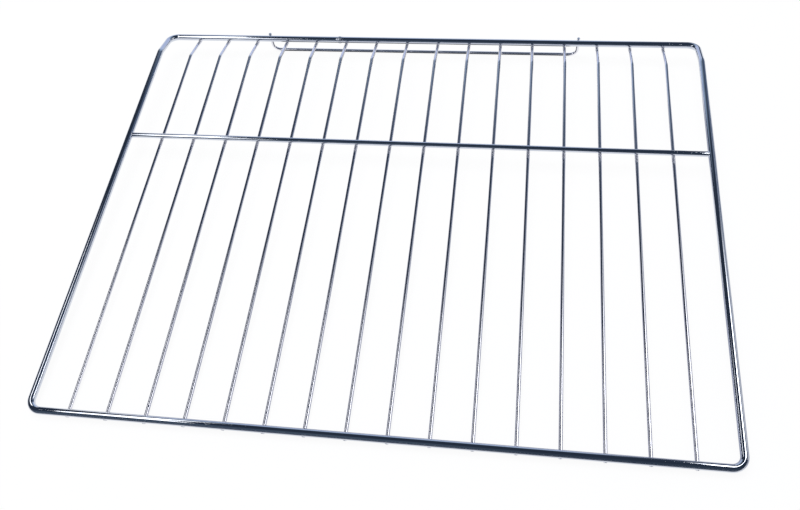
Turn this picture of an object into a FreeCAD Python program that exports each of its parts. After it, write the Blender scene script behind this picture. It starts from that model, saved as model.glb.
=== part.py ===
import FreeCAD, Part
import math
import os

# A welded oven shelf: a frame bent from one heavy wire, a cross bar, a grid of thin wires and a rear guard.
# It lies underside up: the rails and the cross bar are above the grid wires, and the rear slopes down.
# Lengths are in millimetres and run between wire centrelines, and angles are in degrees.
# The shelf is built with its flat field level, X to the right, Y to the rear and the front rail on X.

# Wire diameters
frame_wire_d = 5.0
cross_bar_d = 4.0
grid_wire_d = 2.5
guard_wire_d = 2.5

# Frame
side_rail_spacing = 445.0
field_depth = 322.0  # front rail to the bend where the rear slope starts
slope_length = 27.0  # that bend to the rear rail, along the slope
slope_angle = 17.0
corner_radius = 8.0
slope_bend_radius = 12.0

# Butt weld that closes the frame wire, in the rear rail
butt_weld_x = -71.0
butt_weld_d = 5.8

# Cross bar and grid wires
cross_bar_y = 230.5  # front rail to cross bar
grid_wire_count = 16
grid_wire_past_rail = 1.8  # each end of a grid wire, past the rail's centreline

# Rear guard
guard_leg_gap_count = 3  # whole gaps of the grid between a side rail and the gap in which a leg stands
guard_shift_x = -2.0  # the guard is welded a little left of the middle
guard_drop = 15.5  # rear rail to the guard's bar
guard_corner_radius = 6.0

# How deep the welds press one wire into another
side_weld_depth = 0.4
end_weld_depth = 0.8

half_spacing = side_rail_spacing / 2
grid_pitch = side_rail_spacing / (grid_wire_count + 1)
grid_drop = (frame_wire_d + grid_wire_d) / 2 - side_weld_depth
slope = math.radians(slope_angle)


def bend_point(x, drop):
    """The corner of the slope bend, on a line that runs below the frame's centreline by drop."""
    return FreeCAD.Vector(x, field_depth - drop * math.tan(slope / 2), -drop)


def slope_point(x, run, drop):
    """A point that lies run along the slope from its bend, and below the frame's centreline by drop."""
    along_y = run * math.cos(slope) - drop * math.sin(slope)
    along_z = -run * math.sin(slope) - drop * math.cos(slope)
    return FreeCAD.Vector(x, field_depth + along_y, along_z)


def rounded_path(points, radii):
    """Straight runs through the points, with a tangent arc at each point between the two ends."""
    edges = []
    run_start = points[0]
    for before, corner, after, radius in zip(points, points[1:], points[2:], radii):
        to_before = (before - corner).normalize()
        to_after = (after - corner).normalize()
        half_turn = (math.pi - to_before.getAngle(to_after)) / 2
        tangent_length = radius * math.tan(half_turn)
        arc_start = corner + to_before * tangent_length
        arc_end = corner + to_after * tangent_length
        inward = (to_before + to_after).normalize()
        arc_middle = corner + inward * radius * (1 / math.cos(half_turn) - 1)
        edges.append(Part.LineSegment(run_start, arc_start).toShape())
        edges.append(Part.Arc(arc_start, arc_middle, arc_end).toShape())
        run_start = arc_end
    edges.append(Part.LineSegment(run_start, points[-1]).toShape())
    return Part.Wire(edges)


def bent_wire(points, radii, diameter):
    """A round wire along a rounded path."""
    section = Part.Wire(Part.makeCircle(diameter / 2, points[0], points[1] - points[0]))
    return rounded_path(points, radii).makePipeShell([section], True, False)


def make_frame_wire():
    """A closed loop from the middle of the front rail, with the bead of its butt weld in the rear rail."""
    front_middle = FreeCAD.Vector(0, 0, 0)
    points = [
        front_middle,
        FreeCAD.Vector(-half_spacing, 0, 0),
        bend_point(-half_spacing, 0),
        slope_point(-half_spacing, slope_length, 0),
        slope_point(half_spacing, slope_length, 0),
        bend_point(half_spacing, 0),
        FreeCAD.Vector(half_spacing, 0, 0),
        front_middle,
    ]
    side_radii = [corner_radius, slope_bend_radius, corner_radius]
    loop = bent_wire(points, side_radii + side_radii, frame_wire_d)
    weld = slope_point(butt_weld_x, slope_length, 0)
    bead = Part.makeSphere(butt_weld_d / 2, weld, FreeCAD.Vector(1, 0, 0))
    return loop.fuse(bead)


def make_cross_bar(frame_wire):
    """The bar is flush with the frame on the grid wires' side, and its ends are welded to the side rails."""
    length = side_rail_spacing - frame_wire_d + 2 * end_weld_depth
    start = FreeCAD.Vector(-length / 2, cross_bar_y, (cross_bar_d - frame_wire_d) / 2)
    bar = Part.makeCylinder(cross_bar_d / 2, length, start, FreeCAD.Vector(1, 0, 0))
    return bar.cut(frame_wire)


def make_grid_wire(x, frame_wire, cross_bar):
    """One wire under the front rail, the cross bar and the rear rail, with a shallow seat at each weld."""
    points = [
        FreeCAD.Vector(x, -grid_wire_past_rail, -grid_drop),
        bend_point(x, grid_drop),
        slope_point(x, slope_length + grid_wire_past_rail, grid_drop),
    ]
    wire = bent_wire(points, [slope_bend_radius - grid_drop], grid_wire_d)
    return wire.cut([frame_wire, cross_bar])


rear_rail = slope_point(0, slope_length, 0)
guard_y = rear_rail.y + (frame_wire_d + guard_wire_d) / 2 - side_weld_depth
guard_bar_z = rear_rail.z - guard_drop


def make_rear_guard(frame_wire):
    """A U behind the rear rail. The tops of its legs are level with the crown of the rail."""
    leg_x = half_spacing - (guard_leg_gap_count + 0.5) * grid_pitch
    left_x = guard_shift_x - leg_x
    right_x = guard_shift_x + leg_x
    leg_top_z = rear_rail.z + frame_wire_d / 2
    points = [
        FreeCAD.Vector(left_x, guard_y, leg_top_z),
        FreeCAD.Vector(left_x, guard_y, guard_bar_z),
        FreeCAD.Vector(right_x, guard_y, guard_bar_z),
        FreeCAD.Vector(right_x, guard_y, leg_top_z),
    ]
    guard = bent_wire(points, [guard_corner_radius, guard_corner_radius], guard_wire_d)
    return guard.cut(frame_wire)


def rest_placement():
    """Lays the shelf on its guard and the grid wires' front ends, with the origin under its middle."""
    front_touch = FreeCAD.Vector(0, -grid_wire_past_rail, -grid_drop - grid_wire_d / 2)
    guard_bar = FreeCAD.Vector(0, guard_y, guard_bar_z)
    reach = guard_bar - front_touch
    tilt = math.atan2(-reach.z, reach.y) + math.asin(guard_wire_d / 2 / reach.Length)
    turn = FreeCAD.Rotation(FreeCAD.Vector(1, 0, 0), math.degrees(tilt))
    front_y = -frame_wire_d / 2
    rear_y = turn.multVec(guard_bar).y + guard_wire_d / 2
    floor_z = turn.multVec(front_touch).z
    return FreeCAD.Placement(FreeCAD.Vector(0, -(front_y + rear_y) / 2, -floor_z), turn)


def make_parts():
    frame_wire = make_frame_wire()
    cross_bar = make_cross_bar(frame_wire)
    parts = {
        "frame_wire": frame_wire,
        "cross_bar": cross_bar,
        "rear_guard": make_rear_guard(frame_wire),
    }
    for number in range(1, grid_wire_count + 1):
        x = number * grid_pitch - half_spacing
        parts[f"grid_wire_{number:02d}"] = make_grid_wire(x, frame_wire, cross_bar)
    return parts


os.makedirs("parts", exist_ok=True)
rest = rest_placement()
for name, solid in make_parts().items():
    solid.Placement = rest
    solid.exportStep(f"parts/{name}.step")
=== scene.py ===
import math

import bpy
from mathutils import Matrix, Vector


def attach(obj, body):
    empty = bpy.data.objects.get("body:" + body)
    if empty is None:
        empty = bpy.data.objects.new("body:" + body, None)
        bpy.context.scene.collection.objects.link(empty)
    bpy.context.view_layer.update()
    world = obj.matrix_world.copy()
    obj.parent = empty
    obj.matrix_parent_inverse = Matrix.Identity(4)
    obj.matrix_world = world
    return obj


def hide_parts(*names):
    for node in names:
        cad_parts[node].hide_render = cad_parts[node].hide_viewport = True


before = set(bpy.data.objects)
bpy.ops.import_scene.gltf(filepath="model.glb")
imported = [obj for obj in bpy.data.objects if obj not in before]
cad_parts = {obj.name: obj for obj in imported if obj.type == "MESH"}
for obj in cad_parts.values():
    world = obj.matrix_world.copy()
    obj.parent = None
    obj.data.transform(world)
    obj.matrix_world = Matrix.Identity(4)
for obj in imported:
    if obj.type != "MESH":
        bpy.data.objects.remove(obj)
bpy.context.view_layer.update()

# The shelf's sizes, as in the part's source but in metres
FRAME_WIRE = 0.0050
CROSS_BAR = 0.0040
GRID_WIRE = 0.0025
GUARD_WIRE = 0.0025
RAIL_SPACING = 0.445
FIELD_DEPTH = 0.322
SLOPE_LENGTH = 0.027
SLOPE = math.radians(17.0)
CORNER_RADIUS = 0.008
SLOPE_BEND_RADIUS = 0.012
BUTT_WELD_X = -0.071
BUTT_WELD = 0.0058
CROSS_BAR_Y = 0.2305
GRID_COUNT = 16
GRID_PAST_RAIL = 0.0018
GUARD_LEG_GAPS = 3
GUARD_SHIFT_X = -0.002
GUARD_DROP = 0.0155
GUARD_CORNER_RADIUS = 0.006
SIDE_WELD = 0.0004
END_WELD = 0.0008

HALF_SPACING = RAIL_SPACING / 2
GRID_PITCH = RAIL_SPACING / (GRID_COUNT + 1)
GRID_DROP = (FRAME_WIRE + GRID_WIRE) / 2 - SIDE_WELD
FIRST_GRID_X = GRID_PITCH - HALF_SPACING
CROSS_BAR_Z = (CROSS_BAR - FRAME_WIRE) / 2
GUARD_LEG_X = HALF_SPACING - (GUARD_LEG_GAPS + 0.5) * GRID_PITCH

# Weld beads: their thickness, and the shares of the wire's and the bar's width that a bead spans
CROSSING_BEAD = 0.0010
GUARD_LEG_BEAD = 0.0008
BAR_END_BEAD = 0.0010
BEAD_SPAN_ON_WIRE = 0.80
BEAD_SPAN_ON_BAR = 0.78
CROSSING_BEAD_POINTS = 24
BAR_END_BEAD_POINTS = 28

# Where the butt weld's bead is measured, as distances from the weld
BUTT_WELD_STEPS = [0.0, 0.0003, 0.0006, 0.0009, 0.0012, 0.0015, 0.0030]

# The rounded edge of a cut end: steps in from the end, and how far the edge is drawn in there,
# both as shares of the rounding
END_ROUNDING = 0.0003
END_PROFILE = [(0.0, 1.0), (0.3, 0.35), (1.0, 0.0), (2.0, 0.0)]

# How far outside a bend's arc a path gets one more point
HOLD = 0.0004


def on_slope(x, run, drop):
    """A point run along the rear slope from its bend, and below the frame's centreline by drop."""
    along_y = run * math.cos(SLOPE) - drop * math.sin(SLOPE)
    along_z = -run * math.sin(SLOPE) - drop * math.cos(SLOPE)
    return Vector((x, FIELD_DEPTH + along_y, along_z))


def at_bend(x, drop):
    """The corner of the slope bend, below the frame's centreline by drop."""
    return Vector((x, FIELD_DEPTH - drop * math.tan(SLOPE / 2), -drop))


REAR_RAIL = on_slope(0, SLOPE_LENGTH, 0)
GUARD_Y = REAR_RAIL.y + (FRAME_WIRE + GUARD_WIRE) / 2 - SIDE_WELD
GUARD_BAR_Z = REAR_RAIL.z - GUARD_DROP
WELDED_RAILS = [Vector((0, 0, 0)), Vector((0, CROSS_BAR_Y, CROSS_BAR_Z)), REAR_RAIL]


def rest_matrix():
    """From the level shelf to the shelf that lies on its guard and its grid wires' front ends."""
    front_touch = Vector((0, -GRID_PAST_RAIL, -GRID_DROP - GRID_WIRE / 2))
    guard_bar = Vector((0, GUARD_Y, GUARD_BAR_Z))
    reach = guard_bar - front_touch
    tilt = math.atan2(-reach.z, reach.y) + math.asin(GUARD_WIRE / 2 / reach.length)
    turn = Matrix.Rotation(tilt, 4, "X")
    rear_y = (turn @ guard_bar).y + GUARD_WIRE / 2
    shift = Vector((0, (FRAME_WIRE / 2 - rear_y) / 2, -(turn @ front_touch).z))
    return Matrix.Translation(shift) @ turn


REST = rest_matrix()


# Node helpers
def add_node(tree, kind, inputs=None, **settings):
    """Adds a node. Inputs are values, or sockets to link from, by socket name or number."""
    node = tree.nodes.new(kind)
    for name, value in settings.items():
        setattr(node, name, value)
    for name, value in (inputs or {}).items():
        if isinstance(value, bpy.types.NodeSocket):
            tree.links.new(value, node.inputs[name])
        else:
            node.inputs[name].default_value = value
    return node


def new_tree(name, kind, inputs, outputs):
    """A node group with named sockets, and its input sockets and output node."""
    tree = bpy.data.node_groups.new(name, kind)
    for socket, socket_type, default in inputs:
        made = tree.interface.new_socket(socket, in_out="INPUT", socket_type=socket_type)
        if default is not None:
            made.default_value = default
    for socket, socket_type in outputs:
        tree.interface.new_socket(socket, in_out="OUTPUT", socket_type=socket_type)
    return tree, tree.nodes.new("NodeGroupInput").outputs, tree.nodes.new("NodeGroupOutput")


def math_node(tree, operation, first, second=0.0):
    return add_node(tree, "ShaderNodeMath", {0: first, 1: second}, operation=operation).outputs[0]


def vector_node(tree, operation, first, second):
    inputs = {0: first, 1: second}
    return add_node(tree, "ShaderNodeVectorMath", inputs, operation=operation).outputs


def even_step(tree, value, clear, full):
    """0 at clear, 1 at full, and even between them."""
    return add_node(tree, "ShaderNodeMapRange", {"Value": value, 1: clear, 2: full}).outputs[0]


def soft_step(tree, value, clear, full, lowest=0.0):
    """The lowest share at clear, 1 at full, and smooth between them."""
    ends = {"Value": value, 1: clear, 2: full, 3: lowest}
    return add_node(tree, "ShaderNodeMapRange", ends, interpolation_type="SMOOTHSTEP").outputs[0]


def blend(tree, share, first, second):
    """The first colour where the share is 0, and the second where it is 1."""
    inputs = {"Factor": share, "A": first, "B": second}
    return add_node(tree, "ShaderNodeMix", inputs, data_type="RGBA").outputs["Result"]


def object_place(tree):
    """The place on the piece, and its coordinates."""
    place = add_node(tree, "ShaderNodeTexCoord").outputs["Object"]
    return place, add_node(tree, "ShaderNodeSeparateXYZ", {0: place}).outputs


# Geometry trees
def round_section(tree, diameter, sides):
    circle = {"Resolution": sides, "Radius": math_node(tree, "MULTIPLY", diameter, 0.5)}
    return add_node(tree, "GeometryNodeCurvePrimitiveCircle", circle).outputs[0]


def stored_value(tree, name):
    stored = add_node(tree, "GeometryNodeInputNamedAttribute", {"Name": name}, data_type="FLOAT")
    return stored.outputs[0]


def store_value(tree, geometry, name, value, data_type):
    """Keeps a value at the geometry's points, under a name that the finishes read."""
    kept = add_node(
        tree,
        "GeometryNodeStoreNamedAttribute",
        {"Geometry": geometry, "Name": name, "Value": value},
        data_type=data_type,
        domain="POINT",
    )
    return kept.outputs[0]


def row_of_copies(tree, sizes, shape):
    """Copies of a shape, one step apart."""
    steps = {"Count": sizes["Copies"], "Offset": sizes["Copy Step"]}
    spots = add_node(tree, "GeometryNodeMeshLine", steps).outputs[0]
    row = add_node(tree, "GeometryNodeInstanceOnPoints", {"Points": spots, "Instance": shape})
    return add_node(tree, "GeometryNodeRealizeInstances", {"Geometry": row.outputs[0]}).outputs[0]


def put_out(tree, shape, sizes, out):
    """Gives the finished shape its material and puts it out."""
    finished = {"Geometry": shape, "Material": sizes["Finish"]}
    done = add_node(tree, "GeometryNodeSetMaterial", finished)
    tree.links.new(done.outputs[0], out.inputs[0])


def bent_wire_tree():
    """A round wire along a bent path, and its copies, with marks for the plating's pattern."""
    tree, sizes, out = new_tree(
        "bent_wire",
        "GeometryNodeTree",
        [
            ("Path", "NodeSocketGeometry", None),
            ("Wire Diameter", "NodeSocketFloat", 0.0025),
            ("Sides", "NodeSocketInt", 24),
            ("Bend Steps", "NodeSocketInt", 12),
            ("Copies", "NodeSocketInt", 1),
            ("Copy Step", "NodeSocketVector", None),
            ("Finish", "NodeSocketMaterial", None),
        ],
        [("Wire", "NodeSocketGeometry")],
    )
    line = add_node(tree, "GeometryNodeMeshToCurve", {0: sizes["Path"]})
    bent = add_node(
        tree,
        "GeometryNodeFilletCurve",
        {
            "Curve": line.outputs[0],
            "Count": sizes["Bend Steps"],
            "Radius": stored_value(tree, "bend"),
            "Limit Radius": True,
        },
        mode="POLY",
    )
    length = add_node(tree, "GeometryNodeSplineParameter").outputs["Length"]
    place = add_node(tree, "GeometryNodeInputPosition").outputs[0]
    section = round_section(tree, sizes["Wire Diameter"], sizes["Sides"])
    tube = add_node(
        tree,
        "GeometryNodeCurveToMesh",
        {
            "Curve": store_value(tree, bent.outputs[0], "run", length, "FLOAT"),
            "Profile Curve": store_value(tree, section, "ring", place, "FLOAT_VECTOR"),
            "Scale": stored_value(tree, "swell"),
            "Fill Caps": True,
        },
    )
    smooth = add_node(tree, "GeometryNodeSetShadeSmooth", {"Geometry": tube.outputs[0]})
    put_out(tree, row_of_copies(tree, sizes, smooth.outputs[0]), sizes, out)
    return tree


def weld_bead_tree():
    """A lumpy ring of melted metal along a closed path, and copies of it that differ a little."""
    tree, sizes, out = new_tree(
        "weld_bead",
        "GeometryNodeTree",
        [
            ("Path", "NodeSocketGeometry", None),
            ("Bead Diameter", "NodeSocketFloat", 0.0007),
            ("Sides", "NodeSocketInt", 8),
            ("Swell Scale", "NodeSocketFloat", 420.0),
            ("Thinnest", "NodeSocketFloat", 0.65),
            ("Thickest", "NodeSocketFloat", 1.3),
            ("Lump Height", "NodeSocketFloat", 0.00012),
            ("Lump Scale", "NodeSocketFloat", 900.0),
            ("Copies", "NodeSocketInt", 1),
            ("Copy Step", "NodeSocketVector", None),
            ("Seed", "NodeSocketInt", 1),
            ("Finish", "NodeSocketMaterial", None),
        ],
        [("Bead", "NodeSocketGeometry")],
    )
    place = add_node(tree, "GeometryNodeInputPosition").outputs[0]

    def noise(scale, detail):
        inputs = {"Vector": place, "W": sizes["Seed"], "Scale": scale, "Detail": detail}
        return add_node(tree, "ShaderNodeTexNoise", inputs, noise_dimensions="4D").outputs[0]

    line = add_node(tree, "GeometryNodeMeshToCurve", {0: sizes["Path"]})
    # Most of a noise lies between these
    noise_low, noise_high = 0.3, 0.7
    swell = add_node(
        tree,
        "ShaderNodeMapRange",
        {
            "Value": noise(sizes["Swell Scale"], detail=1.0),
            1: noise_low,
            2: noise_high,
            3: sizes["Thinnest"],
            4: sizes["Thickest"],
        },
    )
    tube = add_node(
        tree,
        "GeometryNodeCurveToMesh",
        {
            "Curve": row_of_copies(tree, sizes, line.outputs[0]),
            "Profile Curve": round_section(tree, sizes["Bead Diameter"], sizes["Sides"]),
            "Scale": swell.outputs[0],
        },
    )
    centred = math_node(tree, "SUBTRACT", noise(sizes["Lump Scale"], detail=2.0), 0.5)
    height = math_node(tree, "MULTIPLY", centred, sizes["Lump Height"])
    normal = add_node(tree, "GeometryNodeInputNormal").outputs[0]
    push = add_node(tree, "ShaderNodeVectorMath", {0: normal, "Scale": height}, operation="SCALE")
    pushed = {"Geometry": tube.outputs[0], "Offset": push.outputs[0]}
    lumpy = add_node(tree, "GeometryNodeSetPosition", pushed)
    smooth = add_node(tree, "GeometryNodeSetShadeSmooth", {"Geometry": lumpy.outputs[0]})
    solid = add_node(tree, "GeometryNodeRealizeInstances", {"Geometry": smooth.outputs[0]})
    put_out(tree, solid.outputs[0], sizes, out)
    return tree


def hold_straights(points, bends, swells, closed):
    """Adds a point just outside each bend's arc, so that the runs between shade as straight."""
    held = []
    count = len(points)
    for n, (corner, radius, swell) in enumerate(zip(points, bends, swells)):
        if radius == 0.0 or (not closed and n in (0, count - 1)):
            held.append((corner, radius, swell))
            continue
        back = (points[n - 1] - corner).normalized()
        ahead = (points[(n + 1) % count] - corner).normalized()
        half_turn = (math.pi - back.angle(ahead)) / 2
        reach = radius * math.tan(half_turn) + HOLD
        held.append((corner + back * reach, 0.0, swell))
        held.append((corner, radius, swell))
        held.append((corner + ahead * reach, 0.0, swell))
    return zip(*held)


def path_object(name, points, bends=None, swells=None, closed=False):
    """A line of edges through the points of the level shelf, laid in the rest pose."""
    mesh = bpy.data.meshes.new(name)
    bends = bends or [0.0] * len(points)
    swells = swells or [1.0] * len(points)
    points, bends, swells = hold_straights(points, bends, swells, closed)
    count = len(points)
    edges = [(n, n + 1) for n in range(count - 1)]
    if closed:
        edges.append((count - 1, 0))
    mesh.from_pydata([REST @ Vector(p) for p in points], edges, [])
    for attribute, values in (("bend", bends), ("swell", swells)):
        layer = mesh.attributes.new(attribute, "FLOAT", "POINT")
        layer.data.foreach_set("value", values)
    path = bpy.data.objects.new(name, mesh)
    bpy.context.scene.collection.objects.link(path)
    return path


def grow(path, tree, values):
    """Runs a geometry tree on a path and keeps its result as a plain mesh under the path's name."""
    name = path.name
    modifier = path.modifiers.new("shape", "NODES")
    modifier.node_group = tree
    for item in tree.interface.items_tree:
        if item.in_out == "INPUT" and item.name in values:
            modifier[item.identifier] = values[item.name]
    depsgraph = bpy.context.evaluated_depsgraph_get()
    mesh = bpy.data.meshes.new_from_object(
        path.evaluated_get(depsgraph), preserve_all_data_layers=True, depsgraph=depsgraph
    )
    path.modifiers.clear()
    line = path.data
    path.data = mesh
    bpy.data.meshes.remove(line)
    mesh.name = name
    return path


# Finishes. The dull scale by the welds lies this far ahead of a welded rail, or on the butt weld.
# It ends and is full at these distances from its middle, and adds this roughness.
WELD_SCALE_AHEAD = 0.004
WELD_SCALE_REACH = (0.0055, 0.0025)
BUTT_WELD_REACH = (0.0050, 0.0030)
WELD_DULLING = 0.06


def plating_marks_group():
    """The marks of chrome on drawn wire: draw lines, ripple, pits, haze and scale by the welds."""
    tree, values, out = new_tree(
        "plating_marks",
        "ShaderNodeTree",
        [
            ("Bright", "NodeSocketColor", (0.65, 0.685, 0.755, 1)),
            ("Dull", "NodeSocketColor", (0.575, 0.61, 0.695, 1)),
            ("Polish", "NodeSocketFloat", 0.05),
            ("Haze", "NodeSocketFloat", 0.06),
            ("Ripple", "NodeSocketFloat", 0.5),
            ("Draw Lines", "NodeSocketFloat", 0.15),
            ("Pits", "NodeSocketFloat", 0.2),
            ("Weld Marks", "NodeSocketFloat", 0.0),
            ("Butt Weld", "NodeSocketFloat", 0.0),
        ],
        [
            ("Color", "NodeSocketColor"),
            ("Roughness", "NodeSocketFloat"),
            ("Height", "NodeSocketFloat"),
        ],
    )
    ring = add_node(tree, "ShaderNodeAttribute", attribute_name="ring").outputs["Vector"]
    run = add_node(tree, "ShaderNodeAttribute", attribute_name="run").outputs["Fac"]
    place, axes = object_place(tree)

    def along(share):
        """The place on the wire with its run cut to a share, which draws a noise out."""
        short_run = math_node(tree, "MULTIPLY", run, share)
        step = add_node(tree, "ShaderNodeCombineXYZ", {"Z": short_run}).outputs[0]
        return vector_node(tree, "ADD", ring, step)["Vector"]

    def noise(where, scale, detail, roughness=0.5):
        inputs = {"Vector": where, "Scale": scale, "Detail": detail, "Roughness": roughness}
        return add_node(tree, "ShaderNodeTexNoise", inputs).outputs[0]

    draw = noise(along(share=0.02), scale=3500.0, detail=2.0)
    ripple = noise(along(share=0.25), scale=260.0, detail=1.0)
    specks = noise(place, scale=1500.0, detail=1.0)
    pits = even_step(tree, specks, clear=0.62, full=0.75)
    patches = noise(place, scale=45.0, detail=3.0, roughness=0.6)
    hazy = even_step(tree, patches, clear=0.4, full=0.7)
    scaly = noise(place, scale=700.0, detail=2.0)

    by_weld = 0.0
    for rail in WELDED_RAILS:
        offset = math_node(tree, "SUBTRACT", axes["Y"], (REST @ rail).y - WELD_SCALE_AHEAD)
        close = even_step(tree, math_node(tree, "ABSOLUTE", offset), *WELD_SCALE_REACH)
        by_weld = math_node(tree, "MAXIMUM", close, by_weld)
    by_weld = math_node(tree, "MULTIPLY", by_weld, values["Weld Marks"])
    butt_weld = REST @ on_slope(BUTT_WELD_X, SLOPE_LENGTH, 0)
    distance = vector_node(tree, "DISTANCE", place, butt_weld)["Value"]
    close = even_step(tree, distance, *BUTT_WELD_REACH)
    at_butt_weld = math_node(tree, "MULTIPLY", close, values["Butt Weld"])
    by_weld = math_node(tree, "MAXIMUM", by_weld, at_butt_weld)

    tone = blend(tree, hazy, values["Bright"], values["Dull"])
    haze = math_node(tree, "MULTIPLY", hazy, values["Haze"])
    rough = math_node(tree, "ADD", haze, values["Polish"])
    rough = math_node(tree, "ADD", rough, math_node(tree, "MULTIPLY", by_weld, WELD_DULLING))
    height = math_node(
        tree,
        "ADD",
        math_node(tree, "MULTIPLY", ripple, values["Ripple"]),
        math_node(tree, "MULTIPLY", draw, values["Draw Lines"]),
    )
    height = math_node(tree, "SUBTRACT", height, math_node(tree, "MULTIPLY", pits, values["Pits"]))
    height = math_node(tree, "ADD", height, math_node(tree, "MULTIPLY", scaly, by_weld))
    tree.links.new(tone, out.inputs["Color"])
    tree.links.new(rough, out.inputs["Roughness"])
    tree.links.new(height, out.inputs["Height"])
    return tree


def chrome(name, marks, relief, **values):
    """Polished chrome plate with the shared plating marks, at this finish's own strengths."""
    material = bpy.data.materials.new(name)
    material.use_nodes = True
    tree = material.node_tree
    shader = tree.nodes["Principled BSDF"]
    shader.inputs["Metallic"].default_value = 1.0
    group = add_node(tree, "ShaderNodeGroup", node_tree=marks)
    for socket, value in values.items():
        group.inputs[socket.replace("_", " ").title()].default_value = value
    height = group.outputs["Height"]
    bump = add_node(tree, "ShaderNodeBump", {"Height": height, "Distance": relief, "Strength": 1.0})
    tree.links.new(group.outputs["Color"], shader.inputs["Base Color"])
    tree.links.new(group.outputs["Roughness"], shader.inputs["Roughness"])
    tree.links.new(bump.outputs[0], shader.inputs["Normal"])
    return material


plating_marks = plating_marks_group()
chrome_frame = chrome(
    "chrome_frame",
    plating_marks,
    relief=0.00002,
    polish=0.02,
    haze=0.04,
    ripple=0.35,
    draw_lines=0.08,
    pits=0.35,
    butt_weld=6.0,
)
# A paler copy of the frame's chrome for the thin wires and the guard: painted brightness, so they
# mirror the studio lighter than the frame does
painted_bright_plating = {
    "relief": 0.00002,
    "bright": (0.81, 0.81, 0.865, 1),
    "dull": (0.74, 0.745, 0.815, 1),
    "polish": 0.03,
    "haze": 0.05,
    "draw_lines": 0.1,
    "ripple": 0.2,
}
chrome_wire = chrome("chrome_wire", plating_marks, weld_marks=8.0, **painted_bright_plating)
chrome_guard = chrome("chrome_guard", plating_marks, **painted_bright_plating)
chrome_weld = chrome(
    "chrome_weld",
    plating_marks,
    relief=0.00004,
    bright=(0.86, 0.88, 0.93, 1),
    dull=(0.74, 0.76, 0.82, 1),
    polish=0.06,
    haze=0.12,
    draw_lines=0.0,
    ripple=0.0,
    pits=0.6,
)

# Wires
bent_wire = bent_wire_tree()
weld_bead = weld_bead_tree()


def swell_at(offset):
    """How much the butt weld's bead thickens the frame wire at a distance from the weld."""
    bead = (BUTT_WELD / 2) ** 2 - offset**2
    return max(1.0, math.sqrt(max(bead, 0.0)) / (FRAME_WIRE / 2))


def make_frame_wire():
    """One loop of heavy wire, closed by the butt weld in the rear rail."""

    def by_weld(offset):
        return on_slope(BUTT_WELD_X + offset, SLOPE_LENGTH, 0), 0.0, swell_at(offset)

    after = [by_weld(step) for step in BUTT_WELD_STEPS[1:]]
    before = [by_weld(-step) for step in reversed(BUTT_WELD_STEPS)]
    corners = [
        (on_slope(HALF_SPACING, SLOPE_LENGTH, 0), CORNER_RADIUS, 1.0),
        (at_bend(HALF_SPACING, 0), SLOPE_BEND_RADIUS, 1.0),
        (Vector((HALF_SPACING, 0, 0)), CORNER_RADIUS, 1.0),
        (Vector((-HALF_SPACING, 0, 0)), CORNER_RADIUS, 1.0),
        (at_bend(-HALF_SPACING, 0), SLOPE_BEND_RADIUS, 1.0),
        (on_slope(-HALF_SPACING, SLOPE_LENGTH, 0), CORNER_RADIUS, 1.0),
    ]
    points, bends, swells = zip(*(after + corners + before))
    path = path_object("frame_loop", points, bends, swells, closed=True)
    values = {"Wire Diameter": FRAME_WIRE, "Sides": 40, "Bend Steps": 16, "Finish": chrome_frame}
    return grow(path, bent_wire, values)


def rounded_ends(points, bends, wire):
    """Adds the cut ends' rounded edges to an open wire's path."""
    steps = [(step, 1 - inset * END_ROUNDING / (wire / 2)) for step, inset in END_PROFILE]
    first = (points[1] - points[0]).normalized()
    last = (points[-2] - points[-1]).normalized()
    head = [points[0] + first * END_ROUNDING * step for step, _ in steps]
    tail = [points[-1] + last * END_ROUNDING * step for step, _ in reversed(steps)]
    path = head + list(points[1:-1]) + tail
    radii = [0.0] * len(head) + list(bends) + [0.0] * len(tail)
    end_swells = [swell for _, swell in steps]
    swells = end_swells + [1.0] * len(bends) + end_swells[::-1]
    return path, radii, swells


def make_cross_bar():
    """The straight rod between the side rails."""
    reach = HALF_SPACING - FRAME_WIRE / 2 + END_WELD
    points = [Vector((side * reach, CROSS_BAR_Y, CROSS_BAR_Z)) for side in (-1, 1)]
    path = path_object("cross_rod", points)
    return grow(path, bent_wire, {"Wire Diameter": CROSS_BAR, "Sides": 32, "Finish": chrome_frame})


def make_grid_wires():
    """Sixteen thin wires from the front rail over the bend to the rear rail."""
    points = [
        Vector((FIRST_GRID_X, -GRID_PAST_RAIL, -GRID_DROP)),
        at_bend(FIRST_GRID_X, GRID_DROP),
        on_slope(FIRST_GRID_X, SLOPE_LENGTH + GRID_PAST_RAIL, GRID_DROP),
    ]
    bends = [SLOPE_BEND_RADIUS - GRID_DROP]
    path = path_object("grid_wires", *rounded_ends(points, bends, GRID_WIRE))
    values = {
        "Wire Diameter": GRID_WIRE,
        "Sides": 32,
        "Bend Steps": 10,
        "Copies": GRID_COUNT,
        "Copy Step": (GRID_PITCH, 0, 0),
        "Finish": chrome_wire,
    }
    return grow(path, bent_wire, values)


def make_rear_guard():
    """The U behind the rear rail, with its leg tops level with the rail's crown."""
    left = GUARD_SHIFT_X - GUARD_LEG_X
    right = GUARD_SHIFT_X + GUARD_LEG_X
    top = REAR_RAIL.z + FRAME_WIRE / 2
    points = [
        Vector((left, GUARD_Y, top)),
        Vector((left, GUARD_Y, GUARD_BAR_Z)),
        Vector((right, GUARD_Y, GUARD_BAR_Z)),
        Vector((right, GUARD_Y, top)),
    ]
    bends = [GUARD_CORNER_RADIUS] * 2
    path = path_object("guard_loop", *rounded_ends(points, bends, GUARD_WIRE))
    values = {"Wire Diameter": GUARD_WIRE, "Sides": 32, "Bend Steps": 12, "Finish": chrome_guard}
    return grow(path, bent_wire, values)


# Welds
ACROSS = Vector((1, 0, 0))
REARWARD = Vector((0, 1, 0))
UP = Vector((0, 0, 1))
DOWN_SLOPE = Vector((0, math.cos(SLOPE), -math.sin(SLOPE)))
OFF_SLOPE = Vector((0, math.sin(SLOPE), math.cos(SLOPE)))


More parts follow.
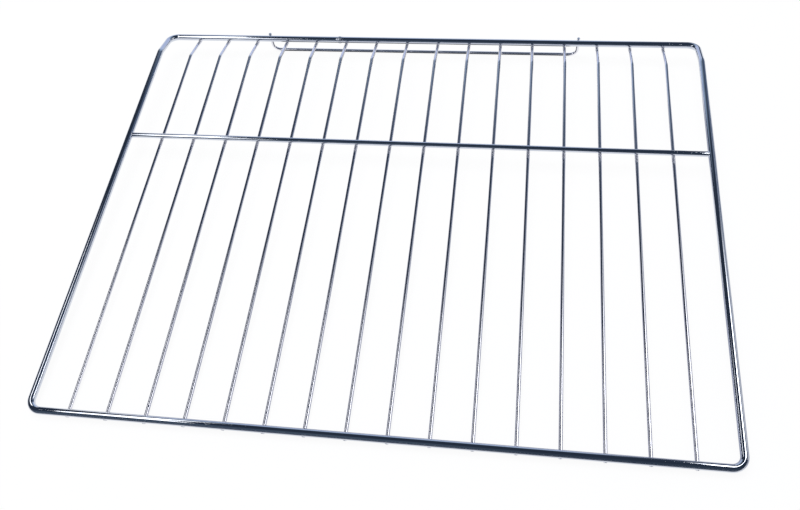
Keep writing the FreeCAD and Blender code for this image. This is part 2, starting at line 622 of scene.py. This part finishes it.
def crossing_ring(centre, along_wire, to_bar, bar, wire, spacing):
    """The closed line round the spot where a thin wire is pressed into a bar that it crosses."""
    half_x = BEAD_SPAN_ON_WIRE * wire / 2
    half_y = BEAD_SPAN_ON_BAR * bar / 2
    ring = []
    for n in range(CROSSING_BEAD_POINTS):
        turn = 2 * math.pi * n / CROSSING_BEAD_POINTS
        x = half_x * math.cos(turn)
        y = half_y * math.sin(turn)
        on_wire = math.sqrt((wire / 2) ** 2 - x**2)
        on_bar = spacing - math.sqrt((bar / 2) ** 2 - y**2)
        ring.append(centre + ACROSS * x + along_wire * y + to_bar * (on_wire + on_bar) / 2)
    return ring


def bar_end_ring(side):
    """The closed line where the cross bar meets the left or right side rail."""
    ring = []
    for n in range(BAR_END_BEAD_POINTS):
        turn = 2 * math.pi * n / BAR_END_BEAD_POINTS
        y = CROSS_BAR / 2 * math.cos(turn)
        z = CROSS_BAR_Z + CROSS_BAR / 2 * math.sin(turn)
        x = HALF_SPACING - math.sqrt(max((FRAME_WIRE / 2) ** 2 - z**2, 0.0))
        ring.append(Vector((side * x, CROSS_BAR_Y + y, z)))
    return ring


def make_welds():
    """The beads at the crossings, behind the guard's legs and at the cross bar's ends."""
    front = Vector((FIRST_GRID_X, 0, -GRID_DROP))
    middle = Vector((FIRST_GRID_X, CROSS_BAR_Y, -GRID_DROP))
    rear = on_slope(FIRST_GRID_X, SLOPE_LENGTH, GRID_DROP)
    leg = Vector((GUARD_SHIFT_X - GUARD_LEG_X, GUARD_Y, REAR_RAIL.z))
    bar_spacing = GRID_DROP + CROSS_BAR_Z
    leg_spacing = GUARD_Y - REAR_RAIL.y
    front_ring = crossing_ring(front, REARWARD, UP, FRAME_WIRE, GRID_WIRE, GRID_DROP)
    middle_ring = crossing_ring(middle, REARWARD, UP, CROSS_BAR, GRID_WIRE, bar_spacing)
    rear_ring = crossing_ring(rear, DOWN_SLOPE, OFF_SLOPE, FRAME_WIRE, GRID_WIRE, GRID_DROP)
    leg_ring = crossing_ring(leg, UP, -REARWARD, FRAME_WIRE, GUARD_WIRE, leg_spacing)
    rows = [
        ("front_welds", front_ring, CROSSING_BEAD, GRID_COUNT, GRID_PITCH),
        ("cross_bar_welds", middle_ring, CROSSING_BEAD, GRID_COUNT, GRID_PITCH),
        ("rear_welds", rear_ring, CROSSING_BEAD, GRID_COUNT, GRID_PITCH),
        ("guard_welds", leg_ring, GUARD_LEG_BEAD, 2, 2 * GUARD_LEG_X),
        ("left_bar_weld", bar_end_ring(-1), BAR_END_BEAD, 1, 0.0),
        ("right_bar_weld", bar_end_ring(1), BAR_END_BEAD, 1, 0.0),
    ]
    pieces = []
    for seed, (name, ring, bead, copies, step) in enumerate(rows, 1):
        path = path_object(name, ring, closed=True)
        values = {"Bead Diameter": bead, "Copies": copies, "Copy Step": (step, 0, 0), "Seed": seed}
        pieces.append(grow(path, weld_bead, {**values, "Finish": chrome_weld}))
    return pieces


frame_loop = make_frame_wire()
cross_rod = make_cross_bar()
grid_wires = make_grid_wires()
guard_loop = make_rear_guard()
welds = make_welds()

# Camera
scene = bpy.context.scene
camera_data = bpy.data.cameras.new("photo_camera")
camera = bpy.data.objects.new("photo_camera", camera_data)
scene.collection.objects.link(camera)
camera_data.type = "PERSP"
camera_data.sensor_width = 36.0
camera_data.lens = 35.914
camera_data.clip_start = 0.01
camera.location = (0.08082, -0.35390, 0.46609)
camera.rotation_euler = [math.radians(a) for a in (34.8045, 4.6601, 6.8364)]
scene.camera = camera
scene.view_settings.view_transform = "Standard"

# Floor, lights and the studio that the chrome mirrors
WHITE = (1, 1, 1, 1)


def glow(tree, colour, strength=1.0):
    return add_node(tree, "ShaderNodeEmission", {"Color": colour, "Strength": strength}).outputs[0]


def mix_shaders(tree, share, first, second):
    return add_node(tree, "ShaderNodeMixShader", {0: share, 1: first, 2: second}).outputs[0]


def see_through(tree, share, shader):
    """The shader where the share is 1, and nothing where it is 0."""
    clear = add_node(tree, "ShaderNodeBsdfTransparent").outputs[0]
    return mix_shaders(tree, share, clear, shader)


def seen_by_eye_or_mirror(tree):
    """1 for camera rays and for rays that come by way of metal or glass."""
    path = add_node(tree, "ShaderNodeLightPath").outputs
    first = math_node(tree, "MAXIMUM", path["Is Camera Ray"], path["Is Glossy Ray"])
    return math_node(tree, "MAXIMUM", first, path["Is Transmission Ray"])


def empty_material(name):
    material = bpy.data.materials.new(name)
    material.use_nodes = True
    material.node_tree.nodes.clear()
    return material, material.node_tree


def set_surface(tree, shader):
    add_node(tree, "ShaderNodeOutputMaterial", {"Surface": shader})


def stage_object(name, points, faces, material):
    """A thing of the studio that isn't part of the shelf."""
    mesh = bpy.data.meshes.new(name)
    mesh.from_pydata(points, [], faces)
    mesh.materials.append(material)
    staged = bpy.data.objects.new(name, mesh)
    scene.collection.objects.link(staged)
    return staged


def only_in_mirrors(staged):
    staged.visible_camera = False
    staged.visible_shadow = False
    staged.visible_diffuse = False


def make_floor():
    """White paper, which glows as overexposed paper does and keeps a little of the shelf's shadow.

    In mirrors it shows painted shade: grey under the grid, and painted shadow ahead of the front
    rail and by the guard.
    """
    glow_share = 0.92
    # Painted shade, seen only in mirrors: grey under the grid, and darker painted shadow ahead of
    # the front rail and by the guard
    grey = (0.42, 0.44, 0.53, 1)
    painted_shadow_ahead = (0.066, 0.082, 0.123, 1)
    painted_shadow_by_guard = (0.020, 0.028, 0.040, 1)
    # Each edge is where a painted shade starts and where it is full
    painted_shade_bands = [((-0.180, -0.174), (0.015, -0.060)), ((0.050, 0.070), (0.150, 0.120))]
    painted_shade_left_edge = (-0.205, -0.140)
    ahead_edge = (-0.183, -0.192)
    guard_front_edge = (0.155, 0.165)
    guard_rear_edge = (0.181, 0.180)
    guard_side_edge = (GUARD_LEG_X - 0.004, GUARD_LEG_X - 0.008)

    material, tree = empty_material("white_paper")
    in_mirror = add_node(tree, "ShaderNodeLightPath").outputs["Is Glossy Ray"]
    _, axes = object_place(tree)
    matt = add_node(tree, "ShaderNodeBsdfDiffuse", {"Color": (0.94, 0.94, 0.97, 1)}).outputs[0]
    # Painted shade under the grid, only in mirrors
    painted_shade_under_grid = 0.0
    for front, rear in painted_shade_bands:
        behind_front = soft_step(tree, axes["Y"], *front)
        before_rear = soft_step(tree, axes["Y"], *rear)
        band = math_node(tree, "MULTIPLY", behind_front, before_rear)
        painted_shade_under_grid = math_node(tree, "MAXIMUM", band, painted_shade_under_grid)
    for share in (soft_step(tree, axes["X"], *painted_shade_left_edge), in_mirror):
        painted_shade_under_grid = math_node(tree, "MULTIPLY", painted_shade_under_grid, share)
    lit = mix_shaders(tree, glow_share, matt, glow(tree, blend(tree, painted_shade_under_grid, WHITE, grey)))
    sideways = math_node(tree, "ABSOLUTE", math_node(tree, "SUBTRACT", axes["X"], GUARD_SHIFT_X))
    guard_edges = [
        (axes["Y"], guard_front_edge),
        (axes["Y"], guard_rear_edge),
        (sideways, guard_side_edge),
    ]
    by_guard = 1.0
    for where, edge in guard_edges:
        by_guard = math_node(tree, "MULTIPLY", soft_step(tree, where, *edge), by_guard)
    # Painted shadow in mirrors, ahead of the front rail and by the guard
    shaded = math_node(tree, "MAXIMUM", soft_step(tree, axes["Y"], *ahead_edge), by_guard)
    shaded = math_node(tree, "MULTIPLY", shaded, in_mirror)
    shade = glow(tree, blend(tree, by_guard, painted_shadow_ahead, painted_shadow_by_guard))
    paper = mix_shaders(tree, shaded, lit, shade)
    set_surface(tree, mix_shaders(tree, seen_by_eye_or_mirror(tree), matt, paper))
    half = 6.0
    below = -0.0002
    corners = [(x * half, y * half, below) for x, y in ((-1, -1), (1, -1), (1, 1), (-1, 1))]
    stage_object("floor", corners, [(0, 1, 2, 3)], material)


def make_reflector(name, rungs, strength, fade):
    """A lit panel beside or above the shelf, only seen in mirrors, which fades out to the rear."""
    material, tree = empty_material(name)
    _, axes = object_place(tree)
    fade_start, fade_end = fade
    lit = soft_step(tree, axes["Y"], fade_end, fade_start)
    set_surface(tree, see_through(tree, lit, glow(tree, WHITE, strength)))
    points = [point for rung in rungs for point in rung]
    faces = [(n, n + 1, n + 3, n + 2) for n in range(0, len(points) - 2, 2)]
    only_in_mirrors(stage_object(name, points, faces, material))


def upright_panel(x, near, far, low, high):
    """The near and the far edge of a panel that stands upright to the right of the shelf."""
    return [((x, y, low), (x, y, high)) for y in (near, far)]


# The lower edge of the dark canopy: degrees round from the rear, clockwise as seen from above,
# and degrees above the floor
CANOPY_EDGE = [(-180, 1), (-40, 1), (-32, 30), (9, 30), (14, 1), (180, 1)]


def canopy_edge_at(turn):
    """How high the canopy's edge is in a direction, in degrees."""
    spans = zip(CANOPY_EDGE, CANOPY_EDGE[1:])
    (a, low_a), (b, low_b) = next(span for span in spans if turn <= span[1][0])
    return low_a + (low_b - low_a) * (turn - a) / (b - a)


def make_canopy():
    """A dark cloth over the studio, only seen in mirrors, which paints the chrome's dark
    reflections; painted light makes it paler at the rear right and at the front left.

    The white room shows below its edge at the rear.
    """
    dark_fold = (0.0205, 0.0295, 0.047, 1)
    pale_fold = (0.033, 0.047, 0.074, 1)
    # Painted light on the cloth, which the chrome mirrors as paler reflections
    rear_right_painted_light = (0.10, 0.14, 0.22, 1)
    front_left_painted_light = (0.070, 0.097, 0.135, 1)
    material, tree = empty_material("canopy_cloth")
    place, axes = object_place(tree)
    folds = add_node(tree, "ShaderNodeTexNoise", {"Vector": place, "Scale": 1.5, "Detail": 2.0})
    tone = blend(tree, folds.outputs[0], dark_fold, pale_fold)
    right = soft_step(tree, axes["X"], 0.5, 1.0)
    rear = soft_step(tree, axes["Y"], -0.2, 0.6)
    tone = blend(tree, math_node(tree, "MULTIPLY", right, rear), tone, rear_right_painted_light)
    front = soft_step(tree, axes["Y"], -0.8, -1.4)
    left = soft_step(tree, axes["X"], 0.4, -0.4, lowest=0.3)
    tone = blend(tree, math_node(tree, "MULTIPLY", front, left), tone, front_left_painted_light)
    set_surface(tree, glow(tree, tone))
    radius = 2.0
    turns = 144
    rings = 24
    points = []
    faces = []
    for n in range(turns):
        turn = -180 + 360 * n / turns
        start = canopy_edge_at(turn)
        for m in range(rings + 1):
            height = math.radians(start + (90 - start) * m / rings)
            level = radius * math.cos(height)
            around = math.radians(turn)
            x = level * math.sin(around)
            y = level * math.cos(around)
            points.append((x, y, radius * math.sin(height)))
    for n in range(turns):
        here = n * (rings + 1)
        beside = (n + 1) % turns * (rings + 1)
        for m in range(rings):
            faces.append((here + m, beside + m, beside + m + 1, here + m + 1))
    only_in_mirrors(stage_object("canopy", points, faces, material))


def make_rear_sheet():
    """A glowing sheet behind the shelf that paints the chrome's reflections, only seen in mirrors:
    pale below, blue-grey and fading above.
    """
    y = 0.85
    left, full_left = -0.75, -0.50
    right, full_right = 0.42, 0.16
    top, full_top = 1.15, 0.52
    pale_top = 0.30
    pale = (0.60, 0.68, 0.90, 1)
    blue_grey = (0.40, 0.51, 0.66, 1)
    material, tree = empty_material("rear_sheet")
    _, axes = object_place(tree)
    edges = [("Z", top, full_top), ("X", left, full_left), ("X", right, full_right)]
    share = 1.0
    for axis, faded, full in edges:
        share = math_node(tree, "MULTIPLY", soft_step(tree, axes[axis], faded, full), share)
    tone = blend(tree, soft_step(tree, axes["Z"], pale_top, full_top), pale, blue_grey)
    # Painted reflection: the sheet's glow lights nothing and only shows in the chrome
    set_surface(tree, see_through(tree, share, glow(tree, tone)))
    corners = [(left, y, 0.0), (right, y, 0.0), (right, y, top), (left, y, top)]
    only_in_mirrors(stage_object("rear_sheet", corners, [(0, 1, 2, 3)], material))


def make_room():
    """The white room round the set: white to the eye and in mirrors, a soft light on the rest."""
    world = bpy.data.worlds.new("studio")
    scene.world = world
    world.use_nodes = True
    tree = world.node_tree
    tree.nodes.clear()
    soft_light = {"Color": (0.90, 0.92, 0.98, 1), "Strength": 0.70}
    soft = add_node(tree, "ShaderNodeBackground", soft_light)
    white = add_node(tree, "ShaderNodeBackground", {"Color": WHITE, "Strength": 1.0})
    shown = mix_shaders(tree, seen_by_eye_or_mirror(tree), soft.outputs[0], white.outputs[0])
    add_node(tree, "ShaderNodeOutputWorld", {"Surface": shown})


def make_lamp():
    """A round lamp overhead, which gives the shelf its shadow."""
    lamp_data = bpy.data.lights.new("overhead_lamp", "AREA")
    lamp_data.shape = "DISK"
    lamp_data.size = 1.2
    lamp_data.energy = 13.0
    lamp = bpy.data.objects.new("overhead_lamp", lamp_data)
    lamp.location = (-0.25, 0.25, 1.5)
    lamp.rotation_euler = (Vector((0, 0, 0)) - lamp.location).to_track_quat("-Z", "Y").to_euler()
    lamp.visible_glossy = False
    scene.collection.objects.link(lamp)


make_floor()
make_canopy()
make_rear_sheet()
make_reflector(
    "left_strip",
    [
        ((-0.375, -0.23, 0.315), (-0.255, -0.32, 0.370)),
        ((-0.435, -0.12, 0.409), (-0.330, -0.12, 0.470)),
        ((-0.43, 0.40, 0.675), (-0.362, 0.40, 0.704)),
    ],
    strength=2.7,
    fade=(0.15, 0.34),
)
make_reflector(
    "right_strip",
    [
        ((0.300, -0.07, 0.380), (0.430, -0.07, 0.380)),
        ((0.315, 0.36, 0.435), (0.520, 0.36, 0.435)),
    ],
    strength=6.0,
    fade=(-0.04, 0.29),
)
right_wall = upright_panel(1.19, near=-0.10, far=0.75, low=0.0, high=0.45)
make_reflector("right_wall", right_wall, strength=0.8, fade=(0.30, 0.70))
right_window = upright_panel(1.19, near=0.25, far=1.50, low=0.78, high=1.15)
make_reflector("right_window", right_window, strength=0.9, fade=(0.70, 1.30))
make_room()
make_lamp()

# Riding
grid_names = [f"grid_wire_{n:02d}" for n in range(1, GRID_COUNT + 1)]
for piece in [frame_loop, cross_rod, grid_wires, guard_loop] + welds:
    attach(piece, "root")
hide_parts("frame_wire")
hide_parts("cross_bar")
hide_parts(*grid_names)
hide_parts("rear_guard")
